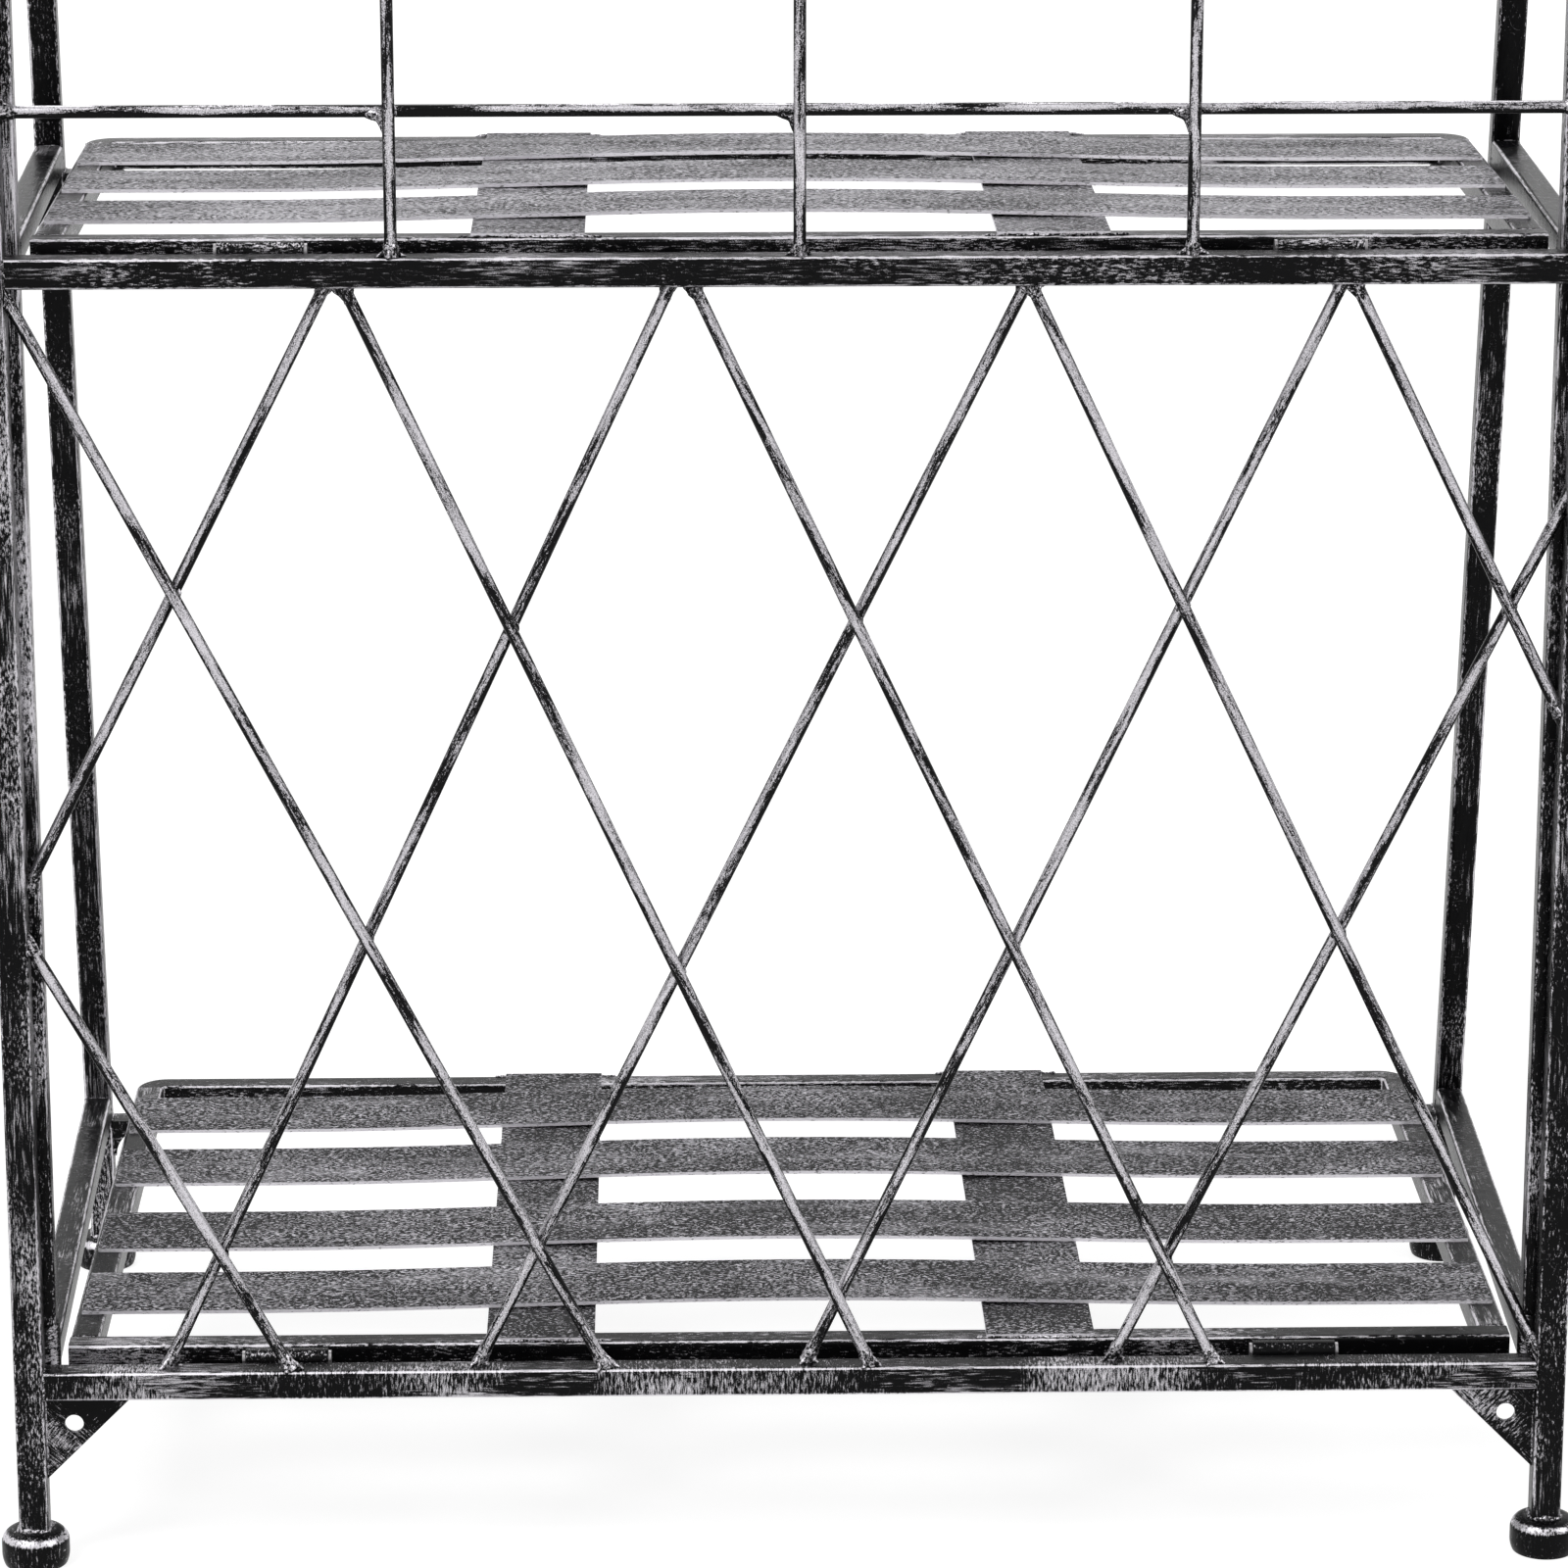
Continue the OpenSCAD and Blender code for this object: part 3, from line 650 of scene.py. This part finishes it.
def weld_lugs(beads, node):
    """Over and under each hinge lug, at the back of its leg."""
    for points in solids_of(node):
        x = [p.x for p in points if p.y < PANEL_BACK + 0.1 * MM]
        z = [p.z for p in points]
        for height in (min(z), max(z)):
            a = Vector((min(x), PANEL_BACK, height))
            seam(beads, a, Vector((max(x), a.y, height)), 0.9 * MM, height * 300)


def weld_knuckles(beads, node):
    """Under each rail knuckle."""
    for points in solids_of(node):
        x = [p.x for p in points]
        spot = Vector((min(x), PANEL_BACK, min(p.z for p in points)))
        seam(beads, spot, Vector((max(x), spot.y, spot.z)), 0.6 * MM, min(x) * 90)


def weld_tab(beads, points, side, k):
    """A shelf tab and its bracket, on the rear post."""
    x = [p.x for p in points]
    post_x = min(x) if side == "left" else max(x)
    low, high = min(p.z for p in points), max(p.z for p in points)
    y = [p.y for p in points if p.z > high - 0.1 * MM]
    seam(beads, Vector((post_x, min(y), high)), Vector((post_x, max(y), high)), 1.0 * MM, k + 31.5)
    middle = (min(y) + max(y)) / 2
    for shift in (-1.5, 1.5):
        a = Vector((post_x, middle + shift * MM, low))
        seam(beads, a, Vector((post_x, a.y, high - 4 * MM)), 0.9 * MM, k + 41.5 + shift)


def weld_slat(beads, points, k):
    """Both ends of a slat, on the side tubes."""
    y = [p.y for p in points]
    z = min(p.z for p in points)
    for x in (min(p.x for p in points), max(p.x for p in points)):
        a, b = Vector((x, min(y) + 2 * MM, z)), Vector((x, max(y) - 2 * MM, z))
        seam(beads, a, b, 0.75 * MM, k + x * 10)


def weld_strap(beads, points):
    """Both ends of a cross strap, on the front and the rear tube."""
    x = [p.x for p in points]
    z = min(p.z for p in points)
    for y in (min(p.y for p in points), max(p.y for p in points)):
        a, b = Vector((min(x) - 5 * MM, y, z)), Vector((max(x) + 7 * MM, y, z))
        seam(beads, a, b, 1.0 * MM, y * 40)


def seen_directly(tree):
    """1 for what the camera sees, also in metal and through glass, and 0 for light on its way."""
    rays = put(tree, "ShaderNodeLightPath")
    seen = calc(tree, "MAXIMUM", rays.outputs["Is Camera Ray"], rays.outputs["Is Glossy Ray"])
    return calc(tree, "MAXIMUM", seen, rays.outputs["Is Transmission Ray"])


def make_floor(studio):
    """Pale floor that shows white and keeps the stand's shadow."""
    material, tree, shader = new_material("studio_floor")
    shader.inputs["Base Color"].default_value = (0.28, 0.28, 0.28, 1.0)
    shader.inputs["Roughness"].default_value = 0.9
    shader.inputs["Emission Color"].default_value = (1.0, 1.0, 1.0, 1.0)
    glow = times(tree, seen_directly(tree), studio.floor_glow)
    tree.links.new(glow, shader.inputs["Emission Strength"])
    mesh = bpy.data.meshes.new("studio_floor")
    ground = bmesh.new()
    bmesh.ops.create_grid(ground, x_segments=1, y_segments=1, size=studio.floor_size / 2)
    ground.to_mesh(mesh)
    ground.free()
    mesh.materials.append(material)
    floor = bpy.data.objects.new("studio_floor", mesh)
    bpy.context.scene.collection.objects.link(floor)


def make_lamps():
    """Three soft, distant lamps."""
    for name, aim, soft, power in LAMPS:
        lamp = bpy.data.lights.new(name, "SUN")
        lamp.angle = math.radians(soft)
        lamp.energy = power
        held = bpy.data.objects.new(name, lamp)
        held.location = -Vector(aim) * 3
        held.rotation_euler = Vector(aim).to_track_quat("-Z", "Y").to_euler()
        bpy.context.scene.collection.objects.link(held)


def make_world(studio):
    """World that is white where it is seen and gives an even light."""
    world = bpy.data.worlds.new("studio_world")
    world.use_nodes = True
    tree = world.node_tree
    tree.nodes.clear()
    shown = times(tree, seen_directly(tree), 1.0 - studio.sky_light)
    strength = calc(tree, "ADD", shown, studio.sky_light)
    sky = put(tree, "ShaderNodeBackground", {"Color": (1.0, 1.0, 1.0, 1.0), "Strength": strength})
    put(tree, "ShaderNodeOutputWorld", {0: sky.outputs[0]})
    bpy.context.scene.world = world


def make_camera(studio):
    """Camera at the photograph's place."""
    scene = bpy.context.scene
    camera = bpy.data.cameras.new("camera")
    camera.sensor_width = 36.0
    camera.lens = studio.camera_lens
    camera.clip_end = 60.0
    held = bpy.data.objects.new("camera", camera)
    held.location = studio.camera_place
    held.rotation_euler = (math.radians(90) - studio.camera_pitch, 0, -studio.camera_yaw)
    scene.collection.objects.link(held)
    scene.camera = held


class STAND_OT_studio(bpy.types.Operator):
    """Set up the floor, the lamps, the world and the camera"""

    bl_idname = "stand.studio"
    bl_label = "Set up the studio"

    def execute(self, context):
        studio = context.scene.stand_studio
        make_floor(studio)
        make_lamps()
        make_world(studio)
        make_camera(studio)
        context.scene.view_settings.view_transform = "Standard"
        return {"FINISHED"}


class STAND_OT_tubes(bpy.types.Operator):
    """Paint the square tubes"""

    bl_idname = "stand.tubes"
    bl_label = "Paint the tubes"

    def execute(self, context):
        cover = context.scene.stand_finish.tube_cover
        low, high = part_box("rear_post_left")
        lean = math.atan2(high.y - low.y - TUBE, high.z - low.z)
        upright = dry_brush(
            "upright_tube", cover - 0.05, ALONG_Z, LONG_STROKES, SHORT_STROKES, edge=0.35, rise=0.30,
        )
        low_rail = dry_brush("low_rail", cover + 0.15, ALONG_X, LONG_STROKES, CROSS_STROKES)
        level = dry_brush("level_tube", cover - 0.06, ALONG_X, LONG_STROKES, (1500, 1500, 330), lift=0.08)
        rung = dry_brush("rung_tube", cover - 0.08, ALONG_Y, LONG_STROKES, CROSS_STROKES)
        post = dry_brush("leaning_tube", cover - 0.05, (-lean, 0, 0), LONG_STROKES, SHORT_STROKES, edge=0.5)
        for words, material in (
            (("leg_left", "leg_right", "stile_left", "stile_right"), upright),
            (("_rail", "front_tube", "rear_tube"), level),
            (("bottom_rail",), low_rail),
            (("side_rails", "side_tubes"), rung),
            (("rear_post",), post),
        ):
            for node in nodes_with(*words):
                paint(node, material)
        return {"FINISHED"}


class STAND_OT_fittings(bpy.types.Operator):
    """Paint the feet, caps, plates and hinge pieces"""

    bl_idname = "stand.fittings"
    bl_label = "Paint the fittings"

    def execute(self, context):
        finish = context.scene.stand_finish
        cover = finish.fitting_cover
        fitting = dry_brush(
            "worn_fitting", cover, ALONG_Z, (1100, 1100, 200), (300, 600, 1200), edge=0.6,
        )
        foot = dry_brush(
            "worn_foot", cover - 0.10, ALONG_Z, (1200, 1200, 190), (300, 300, 1200),
            swing=1.0, edge=0.0, hair=0.5, band=0.9,
        )
        plate = dry_brush(
            "worn_plate", cover + 0.06, ALONG_GUSSET, (1400, 1400, 170), (300, 900, 1400),
            swing=1.6, edge=0.5,
        )
        knuckle = dry_brush(
            "worn_hinge", finish.tube_cover - 0.06, ALONG_X, (1500, 1500, 300), (900, 900, 1200),
            swing=1.0, edge=0.3,
        )
        for words, material in (
            (("lugs", "barrel", "tabs"), fitting),
            (("foot", "cap"), foot),
            (("gusset",), plate),
            (("knuckles",), knuckle),
            (("hinge_rod", "pins", "bushes"), bare_steel("hinge_steel")),
        ):
            for node in nodes_with(*words):
                paint(node, material)
        return {"FINISHED"}


class STAND_OT_rods(bpy.types.Operator):
    """Paint the upright, crossing and guard rods"""

    bl_idname = "stand.rods"
    bl_label = "Paint the rods"

    def execute(self, context):
        cover = context.scene.stand_finish.rod_cover
        for node in nodes_with("rods"):
            name = node.replace("rods", "rod")
            if "guard" in node:
                paint(node, rod_brush(name, cover - 0.2, ALONG_X))
                continue
            a, b = rod_line(solids_of(node)[0], 2)
            run = b - a
            paint(node, rod_brush(name, cover, (0, -math.atan2(run.x, run.z), 0)))
        return {"FINISHED"}


class STAND_OT_slats(bpy.types.Operator):
    """Paint the slats and the straps under them"""

    bl_idname = "stand.slats"
    bl_label = "Paint the slats"

    def execute(self, context):
        for node in nodes_with("slats"):
            # The slats and straps of the middle and top shelves are made paler than those of the bottom shelf
            paleness = -0.005 if "bottom" in node else 0.045
            paint(node, slat_metal(node.replace("slats", "slat"), ALONG_X, paleness))
        for node in nodes_with("straps"):
            paleness = -0.02 if "bottom" in node else 0.03
            paint(node, slat_metal(node.replace("straps", "strap"), ALONG_X, paleness))
        return {"FINISHED"}


class STAND_OT_panel_welds(bpy.types.Operator):
    """Weld beads of the lattice panel"""

    bl_idname = "stand.panel_welds"
    bl_label = "Weld the panel"

    def execute(self, context):
        beads = []
        uprights, near_rods, far_rods = [
            [rod_line(points, 2) for points in solids_of(node)]
            for node in ("upright_rods", "lattice_rods_near", "lattice_rods_far")
        ]
        guards = [rod_line(points, 0) for points in solids_of("guard_rods")]
        weld_uprights(beads, uprights)
        weld_lattice(beads, near_rods)
        weld_lattice(beads, far_rods)
        weld_crossings(beads, near_rods, far_rods)
        weld_guards(beads, guards, uprights)
        weld_rails(beads)
        for side in ("left", "right"):
            weld_gusset(beads, "gusset_" + side)
        for side in ("left", "right"):
            weld_lugs(beads, "hinge_lugs_" + side)
        for level in ("bottom", "middle", "top"):
            weld_knuckles(beads, level + "_rail_knuckles")
        weld_piece("panel_welds", "back_panel", beads)
        return {"FINISHED"}


class STAND_OT_side_welds(bpy.types.Operator):
    """Weld beads of the two side frames"""

    bl_idname = "stand.side_welds"
    bl_label = "Weld the side frames"

    def execute(self, context):
        for side in ("left", "right"):
            beads = []
            for k, points in enumerate(solids_of("side_rails_" + side)):
                ring_of_seams(beads, points, 1, False, 0.9 * MM, k + 1.5)
                ring_of_seams(beads, points, 1, True, 0.9 * MM, k + 11.5)
            ring_of_seams(beads, solids_of("rear_post_" + side)[0], 2, False, 2.1 * MM, 21.5)
            for k, points in enumerate(solids_of("shelf_tabs_" + side)):
                weld_tab(beads, points, side, k)
            weld_piece(side + "_side_welds", side + "_side", beads)
        return {"FINISHED"}


class STAND_OT_shelf_welds(bpy.types.Operator):
    """Weld beads of the three shelves"""

    bl_idname = "stand.shelf_welds"
    bl_label = "Weld the shelves"

    def execute(self, context):
        for shelf in ("bottom_shelf", "middle_shelf", "top_shelf"):
            beads = []
            for k, points in enumerate(solids_of(shelf + "_side_tubes")):
                ring_of_seams(beads, points, 1, False, 0.8 * MM, k + 1.2)
                ring_of_seams(beads, points, 1, True, 0.6 * MM, k + 7.2)
            for k, points in enumerate(solids_of(shelf + "_slats")):
                weld_slat(beads, points, k)
            for points in solids_of(shelf + "_straps"):
                weld_strap(beads, points)
            weld_piece(shelf + "_welds", shelf, beads)
        return {"FINISHED"}


class STAND_PT_panel(bpy.types.Panel):
    """Sidebar panel that lists the steps"""

    bl_label = "Plant Stand"
    bl_idname = "STAND_PT_panel"
    bl_space_type = "VIEW_3D"
    bl_region_type = "UI"
    bl_category = "Plant Stand"

    def draw(self, context):
        for step in STEPS:
            self.layout.operator(step.bl_idname)
        for group in (context.scene.stand_finish, context.scene.stand_studio):
            for name in group.__annotations__:
                self.layout.prop(group, name)


STEPS = (
    STAND_OT_studio,
    STAND_OT_tubes,
    STAND_OT_fittings,
    STAND_OT_rods,
    STAND_OT_slats,
    STAND_OT_panel_welds,
    STAND_OT_side_welds,
    STAND_OT_shelf_welds,
)
CLASSES = (StandFinish, StandStudio) + STEPS + (STAND_PT_panel,)


def register():
    for made in CLASSES:
        bpy.utils.register_class(made)
    bpy.types.Scene.stand_finish = PointerProperty(type=StandFinish)
    bpy.types.Scene.stand_studio = PointerProperty(type=StandStudio)


def unregister():
    del bpy.types.Scene.stand_finish
    del bpy.types.Scene.stand_studio
    for made in reversed(CLASSES):
        bpy.utils.unregister_class(made)


def main():
    register()
    bpy.ops.stand.studio()
    bpy.ops.stand.tubes()
    bpy.ops.stand.fittings()
    bpy.ops.stand.rods()
    bpy.ops.stand.slats()
    bpy.ops.stand.panel_welds()
    bpy.ops.stand.side_welds()
    bpy.ops.stand.shelf_welds()


if __name__ == "__main__":
    main()
